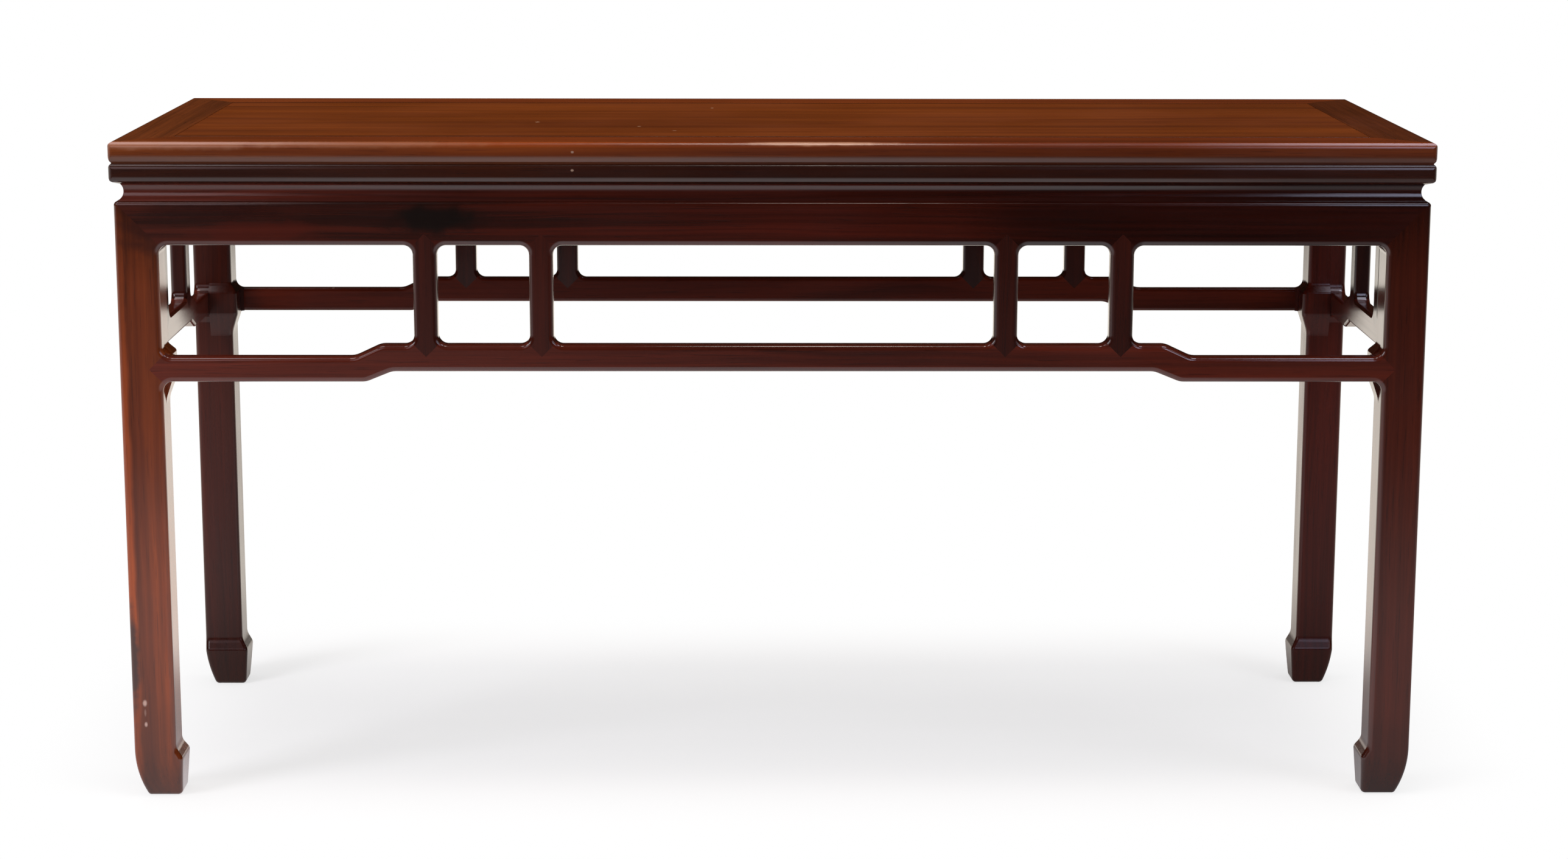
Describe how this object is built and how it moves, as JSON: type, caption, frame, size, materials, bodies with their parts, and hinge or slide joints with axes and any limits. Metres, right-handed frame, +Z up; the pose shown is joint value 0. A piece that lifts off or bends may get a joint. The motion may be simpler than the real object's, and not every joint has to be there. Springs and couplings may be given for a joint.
{
  "type": "kang table",
  "caption": "Low rectangular waisted table with a framed panel top, humpback stretchers with short struts, and square legs ending in hoof feet.",
  "frame": {"origin": "on the floor, under the middle of the top", "axes": "+X along the table, +Y from the front to the back, +Z up"},
  "size_m": [0.96, 0.355, 0.4925],
  "materials": {
    "top_panel": "polished dark hardwood, warm brown",
    "top_frame": "polished dark hardwood, warm brown",
    "waist": "polished dark hardwood, very dark red-brown",
    "apron": "polished dark hardwood, very dark red-brown",
    "leg": "polished dark hardwood, red-brown with dark streaks",
    "stretcher": "polished dark hardwood, dark red-brown",
    "strut": "polished dark hardwood, dark red-brown",
    "batten": "plain planed wood, dull"
  },
  "bodies": {
    "root": {"apron_back": "apron", "apron_front": "apron", "apron_left": "apron", "apron_right": "apron", "batten_left": "batten", "batten_middle": "batten", "batten_right": "batten", "frame_end_left": "top_frame", "frame_end_right": "top_frame", "frame_rail_back": "top_frame", "frame_rail_front": "top_frame", "leg_back_left": "leg", "leg_back_right": "leg", "leg_front_left": "leg", "leg_front_right": "leg", "stretcher_back": "stretcher", "stretcher_front": "stretcher", "stretcher_left": "stretcher", "stretcher_right": "stretcher", "strut_back_1": "strut", "strut_back_2": "strut", "strut_back_3": "strut", "strut_back_4": "strut", "strut_front_1": "strut", "strut_front_2": "strut", "strut_front_3": "strut", "strut_front_4": "strut", "strut_left_1": "strut", "strut_left_2": "strut", "strut_right_1": "strut", "strut_right_2": "strut", "top_panel": "top_panel", "waist_back": "waist", "waist_front": "waist", "waist_left": "waist", "waist_right": "waist"}
  },
  "joints": []
}
